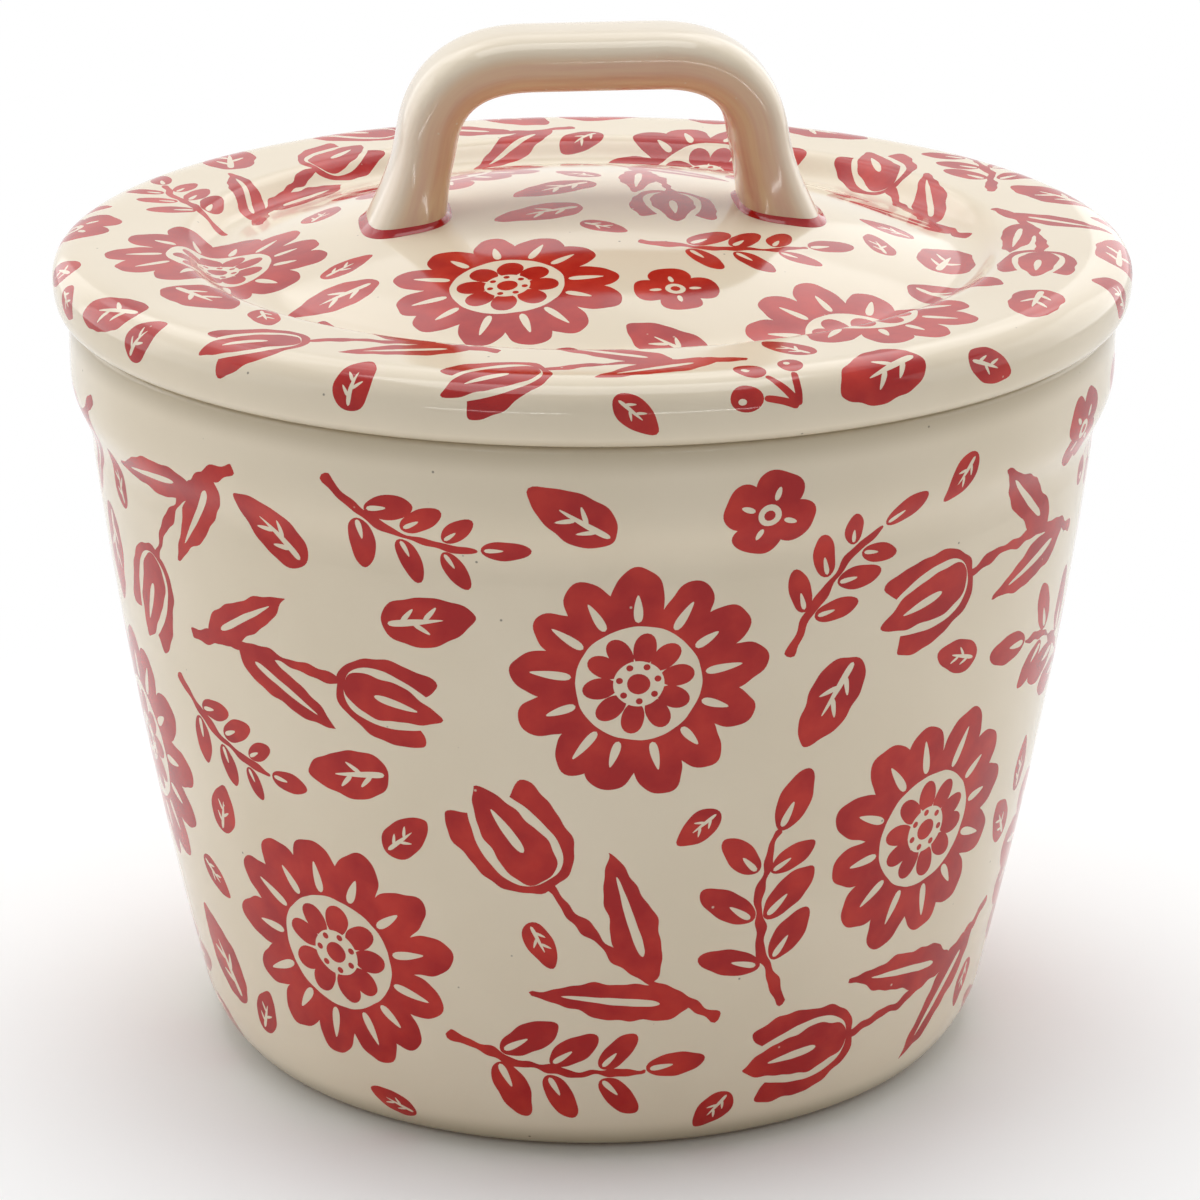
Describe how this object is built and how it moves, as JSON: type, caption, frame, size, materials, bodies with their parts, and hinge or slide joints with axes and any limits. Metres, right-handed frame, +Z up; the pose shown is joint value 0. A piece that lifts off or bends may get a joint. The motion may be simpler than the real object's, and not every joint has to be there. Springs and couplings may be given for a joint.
{
  "type": "tea canister",
  "caption": "Round glazed stoneware canister with a tapered wall and upright collar, closed by an overhanging domed lid that lifts off by a strap handle; for loose tea or dry food.",
  "frame": {"origin": "centre of the jar's foot ring, on the surface that it stands on", "axes": "+Z up along the jar's axis, +X along the lid's handle, +Y across the handle, away from the viewer of the front"},
  "size_m": [0.146, 0.146, 0.1408],
  "materials": {
    "cream_glaze": "glossy cream glaze with fine dark specks",
    "red_slip": "glossy red under clear glaze"
  },
  "bodies": {
    "jar": {"jar": "cream_glaze"},
    "lid": {"lid": "cream_glaze", "handle": "cream_glaze", "handle_slip_left": "red_slip", "handle_slip_right": "red_slip"}
  },
  "joints": [
    {"name": "lid_lift", "type": "slide", "parent": "jar", "child": "lid", "axis": [0, 0, 1], "range_m": [0, 0.12]}
  ]
}
